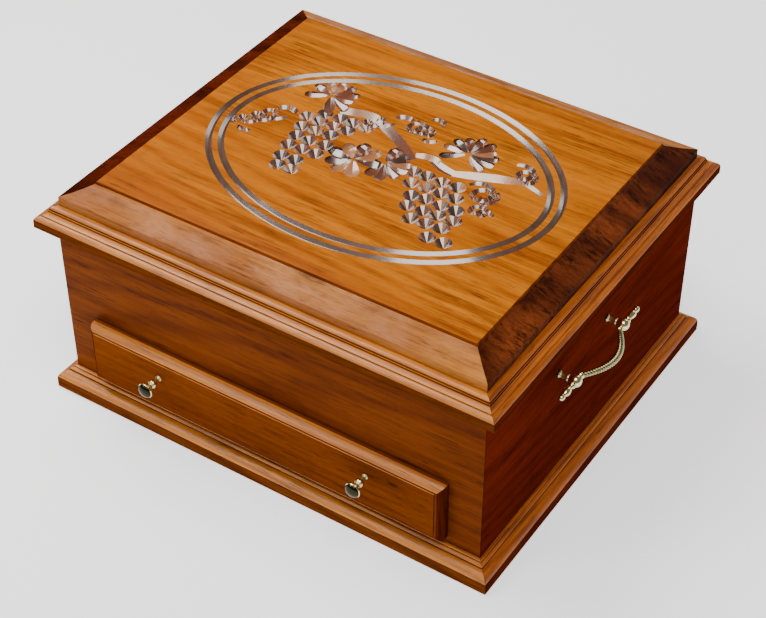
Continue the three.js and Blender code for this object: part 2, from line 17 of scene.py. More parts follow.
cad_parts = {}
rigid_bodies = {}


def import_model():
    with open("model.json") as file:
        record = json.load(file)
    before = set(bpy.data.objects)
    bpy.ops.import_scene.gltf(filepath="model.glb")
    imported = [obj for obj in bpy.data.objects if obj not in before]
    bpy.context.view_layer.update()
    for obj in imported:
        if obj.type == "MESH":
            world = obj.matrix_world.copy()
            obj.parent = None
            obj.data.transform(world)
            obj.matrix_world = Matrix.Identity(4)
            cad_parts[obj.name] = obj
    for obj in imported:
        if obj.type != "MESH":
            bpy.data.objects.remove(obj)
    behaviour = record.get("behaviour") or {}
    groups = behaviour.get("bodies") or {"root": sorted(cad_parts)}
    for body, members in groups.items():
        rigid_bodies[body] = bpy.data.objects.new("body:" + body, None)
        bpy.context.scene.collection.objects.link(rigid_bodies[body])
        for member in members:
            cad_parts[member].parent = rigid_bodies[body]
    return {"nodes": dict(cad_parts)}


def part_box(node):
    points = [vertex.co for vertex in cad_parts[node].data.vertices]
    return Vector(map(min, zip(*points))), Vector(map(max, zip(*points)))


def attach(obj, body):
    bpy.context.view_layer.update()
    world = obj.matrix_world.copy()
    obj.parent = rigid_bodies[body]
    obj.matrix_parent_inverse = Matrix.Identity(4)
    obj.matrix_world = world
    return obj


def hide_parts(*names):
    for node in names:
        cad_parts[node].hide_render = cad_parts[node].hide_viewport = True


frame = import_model()
MM = 0.001
scene = bpy.context.scene
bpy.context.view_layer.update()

# %% [markdown]
# ## Camera
#
# A product view has to match in two ways: where the camera stands, and how long its lens is. The lens
# of 86 mm stands for a camera about 1.6 m away, which gives the chest its gentle perspective. The
# camera needs no shift, because the chest sits in the middle of its view.

# %% Camera
camera_data = bpy.data.cameras.new("camera")
camera_data.lens = 85.76
camera = bpy.data.objects.new("camera", camera_data)
camera.location = (0.6491, -0.9904, 1.0743)
camera.rotation_euler = Euler((math.radians(49.29), 0, math.radians(33.25)))
scene.collection.objects.link(camera)
scene.camera = camera
print("camera:", round(camera_data.lens, 1), "mm lens,", round(camera.location.length, 2), "m away")

# %% [markdown]
# ## Floor and light
#
# Varnished wood and brass are mostly made of reflections, so the lights are large and soft. The key
# light hangs high on the left, where the front bevel mirrors it. A second one hangs overhead, where the
# far walls of the carved cuts mirror it. A small low one gives the rounds of the mouldings their
# bright lines, and one behind keeps the back from going black. The right end is left in shade.

# %% Floor
FLOOR_COLOR = (0.87, 0.9, 0.95)
FLOOR_GLOW = 0.85
FLOOR_SIZE = 12
FLOOR_GAP = 0.0005


def flat_finish(name, color, roughness, glow):
    """A plain finish for the stage, which needs no detail. A little glow keeps it pale."""
    material = bpy.data.materials.new(name)
    material.use_nodes = True
    shader = material.node_tree.nodes["Principled BSDF"]
    shader.inputs["Base Color"].default_value = (*color, 1)
    shader.inputs["Roughness"].default_value = roughness
    shader.inputs["Emission Color"].default_value = (*color, 1)
    shader.inputs["Emission Strength"].default_value = glow
    return material


floor_shape = bmesh.new()
bmesh.ops.create_grid(floor_shape, x_segments=1, y_segments=1, size=FLOOR_SIZE)
bmesh.ops.translate(floor_shape, vec=(0, 0, -FLOOR_GAP), verts=floor_shape.verts)
floor_mesh = bpy.data.meshes.new("floor")
floor_shape.to_mesh(floor_mesh)
floor_shape.free()
floor_mesh.materials.append(flat_finish("floor", FLOOR_COLOR, 0.9, FLOOR_GLOW))
floor = bpy.data.objects.new("floor", floor_mesh)
scene.collection.objects.link(floor)
print("floor:", 2 * FLOOR_SIZE, "m square")

# %% Lights
WARM = (1.0, 0.94, 0.86)
AIM = Vector((0, 0, 0.1))
ROOM_LIGHT = 0.22


def softbox(name, direction, distance, size, power):
    """A square area light in that direction from the chest, turned to face it."""
    light = bpy.data.lights.new(name, "AREA")
    light.size = size
    light.energy = power
    light.color = WARM
    holder = bpy.data.objects.new(name, light)
    towards = Vector(direction).normalized()
    holder.location = towards * distance + AIM
    holder.rotation_euler = towards.to_track_quat("Z", "Y").to_euler()
    scene.collection.objects.link(holder)


softbox("key", (-0.50, 0.0, 0.87), 1.7, 1.0, 30)
softbox("overhead", (0.27, -0.30, 0.915), 2.2, 1.1, 33)
softbox("low_front", (-0.42, -0.66, 0.62), 2.2, 0.6, 13)
softbox("behind", (0.15, 0.90, 0.41), 2.4, 0.9, 8)

world = bpy.data.worlds.new("studio")
world.use_nodes = True
world.node_tree.nodes["Background"].inputs["Color"].default_value = (*WARM, 1)
world.node_tree.nodes["Background"].inputs["Strength"].default_value = ROOM_LIGHT
scene.world = world
print("lights:", [light.name for light in bpy.data.lights])

# %% [markdown]
# ## Writing a material as an expression
#
# A shader graph is arithmetic on signals. Two small classes let the lesson write that arithmetic as
# it is written on paper: a Signal is one output socket, and a Finish is a material being built. An
# expression such as 1 - mask * 0.5 then adds its own Math nodes.

# %% Signals
class Signal:
    """One output socket, which takes part in expressions like a number."""

    def __init__(self, finish, socket):
        self.finish = finish
        self.socket = socket

    def math(self, operation, *others):
        sockets = dict(enumerate((self, *others)))
        return self.finish.node("ShaderNodeMath", {"operation": operation}, sockets)

    def __add__(self, other):
        return self.math("ADD", other)

    def __sub__(self, other):
        return self.math("SUBTRACT", other)

    def __rsub__(self, other):
        return self.finish.node("ShaderNodeMath", {"operation": "SUBTRACT"}, {0: other, 1: self})

    def __mul__(self, other):
        return self.math("MULTIPLY", other)

    def __pow__(self, other):
        return self.math("POWER", other)

    __radd__ = __add__
    __rmul__ = __mul__

    def between(self, low, high):
        """0 below low, 1 above high, and a smooth rise from one to the other."""
        settings = {"interpolation_type": "SMOOTHSTEP"}
        sockets = {"Value": self, "From Min": low, "From Max": high}
        return self.finish.node("ShaderNodeMapRange", settings, sockets)


# %% Finishes
class Finish:
    """A material under construction, with the chest's Object coordinates at hand."""

    def __init__(self, name):
        self.material = bpy.data.materials.new(name)
        self.material.use_nodes = True
        self.nodes = self.material.node_tree.nodes
        self.nodes.clear()
        self.place = self.node("ShaderNodeTexCoord", output="Object")

    def node(self, kind, settings=None, sockets=None, output=0):
        """Adds a node, makes its settings, then gives its sockets their values or links."""
        node = self.nodes.new(kind)
        for name, value in (settings or {}).items():
            setattr(node, name, value)
        for name, value in (sockets or {}).items():
            if isinstance(value, Signal):
                self.material.node_tree.links.new(value.socket, node.inputs[name])
            else:
                node.inputs[name].default_value = value
        return Signal(self, node.outputs[output])

    def stretched(self, scale, shift=(0, 0, 0)):
        """The place on the chest, stretched or squeezed along each axis."""
        return self.node("ShaderNodeMapping", {}, {"Vector": self.place, "Scale": scale, "Location": shift})

    def noise(self, place, scale, detail=4, roughness=0.55):
        sockets = {"Vector": place, "Scale": scale, "Detail": detail, "Roughness": roughness}
        return self.node("ShaderNodeTexNoise", {}, sockets)

    def mix(self, factor, first, second):
        """From the first colour to the second as factor goes from 0 to 1."""
        sockets = {0: factor, 6: first, 7: second}
        return self.node("ShaderNodeMix", {"data_type": "RGBA"}, sockets, output=2)

    def bump(self, height, distance, strength):
        sockets = {"Height": height, "Distance": distance, "Strength": strength}
        return self.node("ShaderNodeBump", {}, sockets)

    def surface(self, **sockets):
        """The shader itself. A socket's name is written with underscores."""
        named = {name.replace("_", " "): value for name, value in sockets.items()}
        shader = self.node("ShaderNodeBsdfPrincipled", {}, named)
        output = self.nodes.new("ShaderNodeOutputMaterial")
        self.material.node_tree.links.new(shader.socket, output.inputs["Surface"])
        return self.material


def tint(code):
    """A hex colour as the linear values a shader wants."""
    parts = [int(code[i:i + 2], 16) / 255 for i in (0, 2, 4)]
    return (*[part / 12.92 if part < 0.04 else ((part + 0.055) / 1.055) ** 2.4 for part in parts], 1)


print("a mid brown in linear values:", [round(value, 3) for value in tint("743410")])

# %% [markdown]
# ## Stained cherry
#
# A board is a slice through a tree's rings, so its figure is a set of nested cylinders cut by a
# plane. The shader works that out: the distance from a pith line, bent by slow noise, runs through a
# sine to give early and late wood. Fine noise drawn out along the grain adds fibres and pores, and a
# slow cloud of noise adds the blotches that stain leaves in cherry. Scales count features to the
# metre: few along the grain and many across it. Each wood has a pale, a deep and a dark colour. Most
# boards have a pith of their own, so they don't look sawn from the same place, while a rail and its
# fascia share one, because they are one stick.

# %% How a wood is made
AXES = {"x": 0, "y": 1, "z": 2}
LEAN = 0.08
BEND = 0.02


def wood(
        name, grain, pale, deep, dark, pith=(0.0, 0.05, -0.05), ring=0.009, figure=0.4, blotch=0.5,
        patch=22.0, roughness=0.3, sheen=0.06, gloss=0.35):
    """Varnished wood whose grain runs along one axis, with rings that lean a little to it."""
    finish = Finish(name)
    pale, deep, dark = tint(pale), tint(deep), tint(dark)
    along = AXES[grain]

    def drawn(across, length):
        scale = [across, across, across]
        scale[along] = length
        return finish.stretched(scale, pith)

    slow = finish.noise(drawn(9.0, 1.6), 1, 3, 0.5)
    leaning = finish.node("ShaderNodeMapping", {}, {"Vector": finish.place, "Rotation": (LEAN, LEAN, LEAN)})
    section = [1.0, 1.0, 1.0]
    section[along] = 0.0
    flat = finish.node("ShaderNodeMapping", {}, {"Vector": leaning, "Scale": section, "Location": pith})
    distance = finish.node("ShaderNodeVectorMath", {"operation": "LENGTH"}, {0: flat}, output="Value")
    rings = (((distance + slow * BEND) * (2 * math.pi / ring)).math("SINE") * 0.5 + 0.5) ** 1.8
    fibre = finish.noise(drawn(1100.0, 26.0), 1, 3, 0.6)
    streaks = finish.noise(drawn(240.0, 9.0), 1, 4, 0.65)
    flecks = finish.noise(drawn(620.0, 40.0), 1, 2, 0.5).between(0.6, 0.68)
    pores = finish.noise(drawn(1700.0, 110.0), 1, 1, 0.5).between(0.6, 0.7)
    cloud = finish.noise(drawn(patch, patch * 0.6), 1, 4, 0.6).between(0.35, 0.7)
    color = finish.mix(rings * figure + streaks.between(0.3, 0.7) * 0.35, pale, deep)
    color = finish.mix(slow.between(0.4, 0.7) * blotch * 0.8, color, deep)
    color = finish.mix(cloud * streaks.between(0.4, 0.65) * blotch * 0.7, color, dark)
    fine = flecks * (cloud * 0.5 + 0.15) + fibre.between(0.5, 0.8) * 0.3 + pores * 0.35
    color = finish.mix(fine, color, dark)
    return finish.surface(
        Base_Color=color,
        Roughness=roughness + fibre * 0.12 + cloud * sheen,
        Normal=finish.bump(fibre * 0.6 - pores * 0.8, 0.00012, 0.5),
        Specular_IOR_Level=gloss,
    )


# %% The chest's woods
field_wood = wood(
    "field_wood", "x", "b86c08", "843a04", "401804", pith=(0.1, -0.04, -0.12), ring=0.012,
    figure=0.4, blotch=0.8, gloss=0.07)
bevel_wood = wood(
    "bevel_wood", "x", "b47018", "84440a", "341606", pith=(0.2, 0.15, -0.1), ring=0.008,
    blotch=1.0, patch=40.0, roughness=0.28, sheen=0.3, gloss=0.22)
bevel_end = wood(
    "bevel_end", "x", "70361a", "301008", "100200", pith=(0.3, 0.1, -0.1), ring=0.016,
    figure=0.6, blotch=1.3, patch=70.0, roughness=0.34, gloss=0.02)
# The left slope is darker than the right one: painted shade.
bevel_left_painted_shade = wood(
    "bevel_left_painted_shade", "x", "541c0a", "301006", "160602", pith=(0.3, 0.1, -0.1), ring=0.016,
    figure=0.6, blotch=0.9, patch=70.0, roughness=0.4, gloss=0.0)
rail_long = wood(
    "rail_long", "x", "cc7e20", "8c480c", "3c1600", pith=(0.0, 0.24, 0.03), ring=0.006, gloss=0.6)
# The short rails on the ends are darker than the long ones: painted shade.
rail_short_painted_shade = wood(
    "rail_short_painted_shade", "y", "b46010", "6c2c04", "300e00", pith=(0.33, 0.0, 0.03), ring=0.006, gloss=0.3)
# The fascias are darker copies of the rail woods: painted shade on the upright faces under the rounds.
fascia_long_painted_shade = wood(
    "fascia_long_painted_shade", "x", "70380a", "481e04", "200a00", pith=(0.0, 0.24, 0.03), ring=0.006, gloss=0.0)
fascia_short_painted_shade = wood(
    "fascia_short_painted_shade", "y", "5c2004", "380e00", "180400", pith=(0.33, 0.0, 0.03), ring=0.006, gloss=0.0)
front_wood = wood(
    "front_wood", "x", "783800", "541e00", "240c00", pith=(-0.07, 0.11, -0.09), ring=0.008,
    figure=0.5, gloss=0.02)
# The end boards are darker than the front and back boards: painted shade for the ends.
end_wood_painted_shade = wood(
    "end_wood_painted_shade", "y", "6a2006", "420e02", "180402", pith=(-0.15, 0.05, -0.11), gloss=0.0)
drawer_wood = wood(
    "drawer_wood", "x", "7c3c02", "582202", "280e00", pith=(0.25, 0.13, -0.07), gloss=0.0)
end_grain = wood(
    "end_grain", "z", "5c2004", "340e00", "120200", pith=(0.1, 0.3, 0.0), ring=0.004, gloss=0.0)
# The grooves are darker still: painted shade in the narrow creases of the profiles.
groove_painted_shade = wood(
    "groove_painted_shade", "x", "5a2a12", "3a1808", "1c0a04", roughness=0.5, gloss=0.1)
groove_painted_shade_short = wood(
    "groove_painted_shade_short", "y", "4a2008", "301004", "180602", roughness=0.5, gloss=0.0)
plain_long, plain_short = [
    wood(
        name, grain, "c49660", "a87840", "7c5228", ring=0.012, blotch=0.3, roughness=0.5, gloss=0.3)
    for name, grain in (("plain_long", "x"), ("plain_short", "y"))
]
print("materials so far:", len(bpy.data.materials))

# %% [markdown]
# ## Cut wood
#
# The carving was cut after the panel was shaped, and sealed with the same varnish. Its walls are
# short, smooth slopes, so each one mirrors either a light or the dark room: that is why carved work
# sparkles. A cut also meets the grain at every angle, and the stain takes differently on each facet,
# so there are three tones of the finish and the cutters choose among them facet by facet. The oval
# border is one long groove, and keeps a single tone of its own.

# %% Cut wood
def cut_wood(name, pale, deep):
    """Freshly cut and varnished wood, with the fine tracks of the cutter."""
    finish = Finish(name)
    tracks = finish.noise(finish.stretched((420.0, 420.0, 420.0)), 1, 3, 0.6)
    cloud = finish.noise(finish.place, 60, 2, 0.5).between(0.35, 0.65)
    return finish.surface(
        Base_Color=finish.mix(cloud * 0.5 + tracks * 0.5, tint(pale), tint(deep)),
        Roughness=0.18 + tracks * 0.12,
        Normal=finish.bump(tracks, 0.00012, 0.3),
        Specular_IOR_Level=1.0,
        Coat_Weight=1.0,
        Coat_Roughness=0.12,
        Coat_IOR=1.6,
    )


cut_tones = [
    cut_wood("cut_dark", "441804", "240c02"),
    cut_wood("cut_middle", "743410", "482008"),
    cut_wood("cut_pale", "ac7448", "7c4824"),
]
cut_groove = cut_wood("cut_groove", "583c2c", "341c10")
print("cut finishes:", [tone.name for tone in cut_tones], cut_groove.name)

# %% [markdown]
# ## Plywood and brass
#
# Plywood shows its face veneer on the flats and its plies as stripes on the edges, so the way a face
# looks chooses between a veneer and stripes over height. Lacquered brass is a metal: its colour is in
# its reflection. A slow noise darkens it a little as tarnish, and the same recipe serves four times:
# bright for what is polished, satin for stems that no hand touches, a darker brass for the twisted
# grip as painted shade, and a near-black brass for plates and for the knobs' domes as a painted dark
# reflection.

# %% Plywood
PLY_PITCH = 0.0024


def plywood_finish():
    finish = Finish("plywood")
    height = finish.node("ShaderNodeSeparateXYZ", {}, {0: finish.place}, output="Z")
    plies = ((height * (2 * math.pi / PLY_PITCH)).math("SINE") * 0.5 + 0.5).between(0.3, 0.7)
    normal = finish.node("ShaderNodeNewGeometry", output="Normal")
    upward = finish.node("ShaderNodeSeparateXYZ", {}, {0: normal}, output="Z")
    flat = upward.math("ABSOLUTE").between(0.4, 0.6)
    veneer = finish.noise(finish.stretched((8.0, 160.0, 160.0)), 1, 4, 0.6)
    face_color = finish.mix(veneer.between(0.35, 0.7), tint("c89c60"), tint("a87a44"))
    edge_color = finish.mix(plies, tint("b88c54"), tint("74502a"))
    return finish.surface(
        Base_Color=finish.mix(flat, edge_color, face_color),
        Roughness=0.55 + veneer * 0.1,
        Normal=finish.bump(veneer, 0.0001, 0.3),
    )


plywood = plywood_finish()
print("plywood:", round(PLY_PITCH / MM, 1), "mm from ply to ply")


# %% Brass
def brass_finish(name, pale, deep, roughness):
    finish = Finish(name)
    cloud = finish.noise(finish.place, 120, 4, 0.6).between(0.4, 0.75)
    scratches = finish.noise(finish.stretched((600.0, 2500.0, 600.0)), 1, 2, 0.6)
    return finish.surface(
        Base_Color=finish.mix(cloud * 0.5, tint(pale), tint(deep)),
        Metallic=1.0,
        Roughness=roughness + cloud * 0.1 + scratches * 0.06,
        Normal=finish.bump(scratches, 0.00002, 0.3),
    )


brass = brass_finish("brass", "e2d8a4", "8c7c48", 0.12)
satin = brass_finish("satin_brass", "d8cc94", "8c7c48", 0.32)
# A darker brass for the twisted grip: painted shade in its reflections.
grip_painted_shade = brass_finish("grip_painted_shade_brass", "a09a6c", "544c28", 0.16)
# Near-black brass for the domes and plates: a painted dark reflection.
painted_dark = brass_finish("painted_dark_brass", "302e1c", "16140a", 0.16)
print("metals:", [metal.name for metal in (brass, satin, grip_painted_shade, painted_dark)])

# %% [markdown]
# ## Finishing the pieces that stay
#
# Flat boards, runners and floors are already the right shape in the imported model, so they keep their
# meshes and only get wood. The grain of a board runs along its length.

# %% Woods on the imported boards
def assign(material, *nodes):
    for name in nodes:
        slots = frame["nodes"][name].data.materials
        slots.clear()
        slots.append(material)


assign(front_wood, "body_front_board", "body_back_board")
# The end boards take the darker wood, which is painted shade.
assign(end_wood_painted_shade, "body_left_board", "body_right_board")
assign(plain_short, "drawer_left_side", "drawer_right_side", "left_drawer_runner", "right_drawer_runner")
assign(plain_short, "left_floor_cleat", "right_floor_cleat")
assign(plain_long, "drawer_back")
assign(plywood, "bottom_panel", "compartment_floor", "drawer_bottom")
hardware = [name for name in frame["nodes"] if "hinge" in name or "nut" in name or "screw" in name]
assign(brass, *hardware)
print("brass pieces that stay:", len(hardware))

# %% [markdown]
# ## From a bmesh to a piece of the chest
#
# Every new piece ends the same way: its mesh goes into an object at the origin, its curved faces are
# shaded smooth while its corners stay crisp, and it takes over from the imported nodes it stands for.
# A few small helpers on the way there move a shape, join several into one, and ease its corners.

# %% Finished pieces
def finished(shape, name, finishes, body, stands_for, crease=30):
    """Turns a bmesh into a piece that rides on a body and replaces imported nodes."""
    mesh = bpy.data.meshes.new(name)
    shape.to_mesh(mesh)
    shape.free()
    for finish in finishes:
        mesh.materials.append(finish)
    piece = bpy.data.objects.new(name, mesh)
    scene.collection.objects.link(piece)
    crisp(piece, crease)
    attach(piece, body)
    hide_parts(*stands_for)
    return piece


def crisp(piece, crease):
    """Smooth shading, but for edges that turn by more than the crease."""
    piece.data.shade_smooth()
    piece.data.set_sharp_from_angle(angle=math.radians(crease))


# %% Helpers for shapes
def everything(shape):
    return shape.verts[:] + shape.edges[:] + shape.faces[:]


def moved(shape, matrix):
    bmesh.ops.transform(shape, matrix=matrix, verts=shape.verts)
    return shape


def gathered(shapes):
    """Several bmeshes as one."""
    whole = bmesh.new()
    for shape in shapes:
        part = bpy.data.meshes.new("part")
        shape.to_mesh(part)
        shape.free()
        whole.from_mesh(part)
        bpy.data.meshes.remove(part)
    return whole


def eased(shape, offset):
    """Rounds every edge that turns by more than 60 degrees."""
    joined = [edge for edge in shape.edges if len(edge.link_faces) == 2]
    sharp = [edge for edge in joined if edge.calc_face_angle() > math.radians(60)]
    bmesh.ops.bevel(
        shape, geom=sharp, offset=offset, offset_type="OFFSET", segments=2, profile=0.5,
        affect="EDGES", material=-1, clamp_overlap=True)


# %% [markdown]
# ## Mitred mouldings
#
# A router cuts a moulding as one long stick, and the frame maker saws its ends at 45 degrees. The
# mesh is made in the same order: the profile is one face, an extrusion draws it out into a stick, and
# two bisecting planes saw the mitres. The sawn ends are filled, and the four sticks are turned into
# place around the chest. The narrow groove of each profile and the upright fascia under the round get
# darker finishes of their own: painted shade, for the crease that little light reaches and for the
# fascia that takes less light than the shaped wood. The sticks on the two ends are darker again, also
# painted shade.

# %% Sizes of the frames
body_low, body_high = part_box("body_front_board")
MITRE_GAP = 0.2 * MM
SPARE = 50 * MM
half_width = body_high.x + MITRE_GAP
half_depth = -body_low.y
print("body:", round(2 * half_width / MM, 1), "x", round(2 * half_depth / MM, 1), "mm")


# %% A quarter round
def quarter(start, end, hollow=False, steps=9):
    """The points of a quarter round from start to end, bulging out, or hollow."""
    points = []
    for i in range(1, steps + 1):
        turn = i / steps * math.pi / 2
        across, up = 1 - math.cos(turn), math.sin(turn)
        if hollow:
            across, up = math.sin(turn), 1 - math.cos(turn)
        points.append((start[0] + (end[0] - start[0]) * across, start[1] + (end[1] - start[1]) * up))
    return points


# %% One mitred stick
SIDES = {"front": 0, "right": 90, "back": 180, "left": 270}


def mitred_stick(profile, side, groove):
    """A moulding along one side. Profile points are (distance out past the body, height) in mm.

    The groove is given by its lowest and highest point, in mm too.
    """
    along_x = side in ("front", "back")
    half_long, half_across = (half_width, half_depth) if along_x else (half_depth, half_width)
    reach = half_long + SPARE
    stick = bmesh.new()
    outline = [stick.verts.new((-reach, -half_across - out * MM, height * MM)) for out, height in profile]
    end = stick.faces.new(outline)
    drawn = bmesh.ops.extrude_face_region(stick, geom=[end])["geom"]
    far = [item for item in drawn if isinstance(item, bmesh.types.BMVert)]
    bmesh.ops.translate(stick, vec=(2 * reach, 0, 0), verts=far)
    for way in (-1, 1):
        sawn = bmesh.ops.bisect_plane(
            stick, geom=everything(stick), dist=1e-7, clear_outer=True,
            plane_co=(way * (half_long - MITRE_GAP), -half_across, 0), plane_no=(way, 1, 0))
        rim = [item for item in sawn["geom_cut"] if isinstance(item, bmesh.types.BMEdge)]
        bmesh.ops.contextual_create(stick, geom=rim)
    bmesh.ops.recalc_face_normals(stick, faces=stick.faces)
    # Faces in the groove take finish 1 and the upright outer faces take finish 2: both are painted shade.
    low, high = groove
    for face in stick.faces:
        if low * MM < face.calc_center_median().z < high * MM and face.normal.y < -0.3:
            face.material_index = 1
        elif face.normal.y < -0.95:
            face.material_index = 2
    return moved(stick, Matrix.Rotation(math.radians(SIDES[side]), 4, "Z"))


# %% Four sticks make a frame
def add_frame(prefix, profile, body, groove):
    for side in SIDES:
        name = f"{prefix}_{side}_rail"
        if side in ("front", "back"):
            finishes = (rail_long, groove_painted_shade, fascia_long_painted_shade)
        else:
            finishes = (rail_short_painted_shade, groove_painted_shade_short, fascia_short_painted_shade)
        stick = mitred_stick(profile, side, groove)
        finished(stick, name + "_moulding", finishes, body, [name])
    print(prefix, "frame:", len(profile), "points in its profile")


# %% [markdown]
# ## Base
#
# From the floor up, the base has an upright band, a broad round, a narrow quirk and a small bead that
# runs into the body.

# %% Base mouldings
BASE_INNER = -31.5
RABBET = -22.5
PLY = 6.3
base_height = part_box("base_front_rail")[1].z / MM
quirk_low, quirk_high = 16.4, 17.3
base_profile = [
    (RABBET, 0), (13.0, 0), (13.5, 0.5), (13.5, 8.2),
    *quarter((13.5, 8.2), (5.9, quirk_low), steps=14),
    (4.9, quirk_low), (4.9, quirk_high), (5.4, quirk_high),
    *quarter((5.4, quirk_high), (3.2, 19.9)),
    (2.6, 19.9), (2.6, 20.4),
    *quarter((2.6, 20.4), (1.5, base_height), steps=4),
    (BASE_INNER, base_height), (BASE_INNER, PLY), (RABBET, PLY),
]
add_frame("base", base_profile, "chest", (quirk_low, quirk_high))

# %% [markdown]
# ## Lid frame
#
# The lid frame is moulded too: an upright band, a round nose, a step, a cove, and a bead under the
# raised panel.

# %% Lid mouldings
LID_INNER = -32
lid_low, lid_high = [corner.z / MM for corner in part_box("lid_front_rail")]
step_low, step_high = 183.6, 184.5
lid_profile = [
    (LID_INNER, lid_low), (12.7, lid_low), (13.3, lid_low + 0.6), (13.3, 178.9),
    *quarter((13.3, 178.9), (9.0, step_low), steps=12),
    (8.1, step_low), (8.1, step_high), (8.5, step_high),
    *quarter((8.5, step_high), (4.4, 188.0), hollow=True, steps=10),
    (4.4, 188.4), (3.7, 188.4), (3.7, 189.0),
    *quarter((3.7, 189.0), (1.2, lid_high), steps=8),
    (LID_INNER, lid_high),
]
add_frame("lid", lid_profile, "lid", (step_low, step_high))

# %% [markdown]
# ## Raised panel
#
# The panel starts as a plain slab. Insetting its top face again and again, with a small rise each
# time, gives the wide, slightly hollow bevel, and one last short and steep inset gives the step up to
# the flat field. Faces that look to the ends are end grain, which drinks more stain. The left end's
# slope is darker still: that is painted shade.

# %% Panel slab
panel_low, panel_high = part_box("lid_panel")
EDGE_HEIGHT = 8 * MM
BEVEL_WIDTH = 21.4 * MM
FIELD_STEP = 2.2 * MM
FIELD_SLOPE = 1.0 * MM
BEVEL_STEPS = 7
HOLLOW = 0.8 * MM

blank = bmesh.new()
bmesh.ops.create_cube(blank, size=1)
bmesh.ops.scale(
    blank, vec=(panel_high.x - panel_low.x, panel_high.y - panel_low.y, EDGE_HEIGHT), verts=blank.verts)
bmesh.ops.translate(blank, vec=(0, 0, panel_low.z + EDGE_HEIGHT / 2), verts=blank.verts)
top = max(blank.faces, key=lambda face: face.calc_center_median().z)
bevel_rise = panel_high.z - panel_low.z - EDGE_HEIGHT - FIELD_STEP
print("bevel:", round(BEVEL_WIDTH / MM, 1), "mm wide and", round(bevel_rise / MM, 1), "mm high")


# %% Bevel and field
def stepped_in(width, rise):
    """Insets the top face and lifts it."""
    bmesh.ops.inset_region(blank, faces=[top], thickness=width, depth=0, use_even_offset=True)
    bmesh.ops.translate(blank, vec=(0, 0, rise), verts=top.verts[:])


def bevel_height(share):
    """How high the hollow bevel is, at a share of its width."""
    return bevel_rise * share - HOLLOW * math.sin(math.pi * share)


for step in range(BEVEL_STEPS):
    rise = bevel_height((step + 1) / BEVEL_STEPS) - bevel_height(step / BEVEL_STEPS)
    stepped_in(BEVEL_WIDTH / BEVEL_STEPS, rise)
stepped_in(FIELD_SLOPE, FIELD_STEP)
field_z = top.calc_center_median().z
print("field at", round(field_z / MM, 2), "mm")

# %% Which wood each face of the panel shows
FIELD, BEVEL, BEVEL_END, STEP, BEVEL_LEFT_PAINTED_SHADE = range(5)
for face in blank.faces:
    tilt = abs(face.normal.z)
    height = face.calc_center_median().z
    if tilt > 0.99:
        face.material_index = FIELD
    elif height > panel_high.z - FIELD_STEP:
        face.material_index = STEP
    elif face.normal.x > 0.05:
        face.material_index = BEVEL_END
    # The left slope takes the darker finish, which is painted shade.
    elif face.normal.x < -0.05:
        face.material_index = BEVEL_LEFT_PAINTED_SHADE
    else:
        face.material_index = BEVEL
eased(blank, 0.35 * MM)
print("panel blank:", len(blank.faces), "faces")

# %% [markdown]
# ## Turning
#
# Knobs, posts and beads are turned on a lathe: an outline is spun once around the axis. The same
# helper also makes the carver's cutting shapes, because a grape is a cone and a petal is a teardrop.

# %% Turned shapes
def turned(profile, steps=48):
    """A solid of revolution on the Z axis, from (radius, height) points in mm."""
    shape = bmesh.new()
    points = [shape.verts.new((radius * MM, 0, height * MM)) for radius, height in profile]
    edges = [shape.edges.new(pair) for pair in zip(points, points[1:])]
    bmesh.ops.spin(
        shape, geom=points + edges, cent=(0, 0, 0), axis=(0, 0, 1), angle=2 * math.pi,
        steps=steps, use_merge=True)
    bmesh.ops.remove_doubles(shape, verts=shape.verts, dist=1e-6)
    bmesh.ops.recalc_face_normals(shape, faces=shape.faces)
    return shape


# %% [markdown]
# ## Carving tools
#
# The carving is cut, so it is modelled by cutting: each tool leaves the shape of its edge. A pointed
# cutter plunged straight down leaves a grape, a gouge pushed in at a slant leaves a petal, and a
# gouge drawn along a line leaves the vine, the tendrils and the oval border. The carver's hand is a
# seeded random source, so the chest comes out the same each time.

# %% Grapes and petals
carver = random.Random(7)
CUT_TOP = 3.0
GRAPE_FACETS = 12
GRAPE_STEEPNESS = 0.82
PETAL_LIFT = 1.0
PETAL_LEAN = 5
PETAL_FLATNESS = 0.72


def on_field(x, y, turn, z=0.0):
    """A place on the panel's field, in mm from its middle, turned about the upright axis."""
    place = Matrix.Translation((x * MM, y * MM, field_z + z * MM))
    return place @ Matrix.Rotation(math.radians(turn), 4, "Z")


def toned(shape):
    """Gives every facet one of the three tones, at random. More of them are dark than pale."""
    for face in shape.faces:
        face.material_index = carver.choice((0, 0, 0, 1, 1, 2))
    return shape


def grape(x, y, radius):
    """A pointed pit with a dozen facets."""
    depth = radius * GRAPE_STEEPNESS
    rim = radius * (depth + CUT_TOP) / depth
    pit = toned(turned([(0, -depth), (rim, CUT_TOP), (0, CUT_TOP)], GRAPE_FACETS))
    return moved(pit, on_field(x, y, carver.uniform(0, 360 / GRAPE_FACETS)))


def petal(x, y, angle, reach, width):
    """A chip cut from a leaf's middle outwards: two slopes that meet in a vein, and a blunt end."""
    half = width / 2
    tone = carver.choice((0, 1, 1, 2, 2))
    rounding = (math.pi / 2, 1.0, 0.5, 0)
    nose = [(half * math.sin(a), reach - half + half * math.cos(a)) for a in rounding]
    chip = turned([(0, 0), (half * 0.45, reach * 0.2), (half * 0.85, reach * 0.45), *nose], 6)
    level = Matrix.Rotation(math.radians(90 + PETAL_LEAN), 4, "Y")
    flat = Matrix.Diagonal((1, 1, PETAL_FLATNESS, 1))
    for face in chip.faces:
        face.material_index = tone
    return moved(chip, on_field(x, y, angle, PETAL_LIFT) @ flat @ level)


